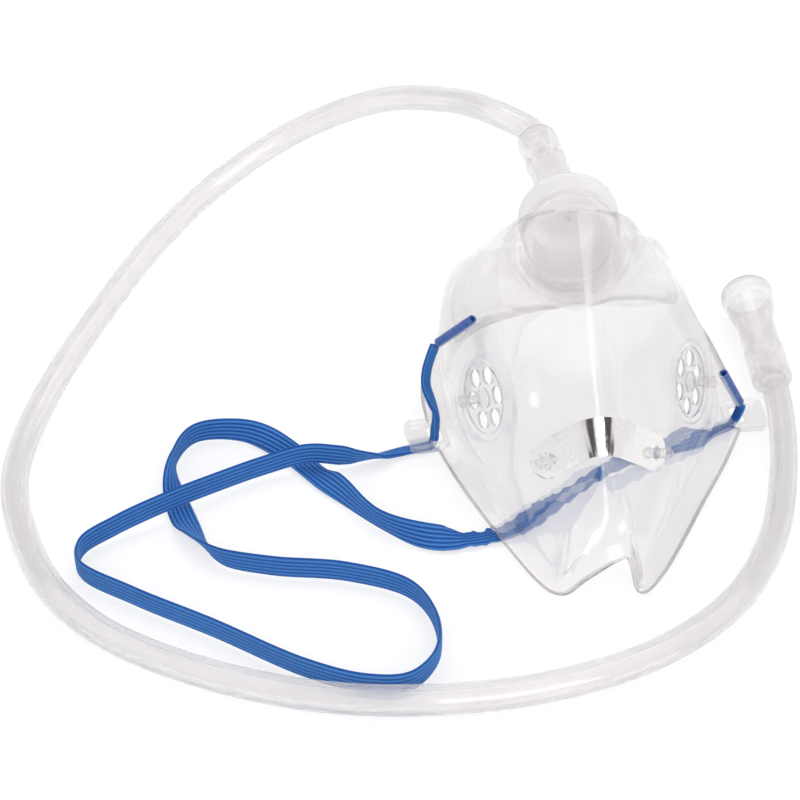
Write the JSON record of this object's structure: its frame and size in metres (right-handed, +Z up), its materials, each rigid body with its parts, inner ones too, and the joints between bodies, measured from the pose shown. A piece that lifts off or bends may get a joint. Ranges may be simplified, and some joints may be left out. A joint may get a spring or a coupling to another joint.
{
  "type": "oxygen face mask",
  "caption": "Clear moulded oxygen face mask with cheek vents, nose clip, port connector, supply tube with push-on ends and an elastic head strap.",
  "frame": {"origin": "on the surface the mask stands on, under the middle of the mask's outline; the tube, its ends and the strap are left out of that outline", "axes": "+Z up out of the dome; +Y from the nose notch to the chin, the way the tube leaves the port; +X to the side of the free tube end"},
  "size_m": [0.2048, 0.1933, 0.073],
  "materials": {
    "clear_pvc": "clear soft PVC, glossy",
    "aluminium": "bright soft strip",
    "frosted_plastic": "frosted translucent plastic",
    "tube_pvc": "clear soft PVC tubing",
    "blue_elastic": "ribbed knitted elastic",
    "strap_tip": "rolled dark blue film"
  },
  "bodies": {
    "root": {"mask_shell": "clear_pvc", "nose_clip": "aluminium", "port_connector": "frosted_plastic", "mask_tube_socket": "tube_pvc", "free_tube_socket": "tube_pvc", "oxygen_tube": "tube_pvc", "elastic_strap": "blue_elastic", "strap_tip_left": "strap_tip", "strap_tip_right": "strap_tip"}
  },
  "joints": []
}
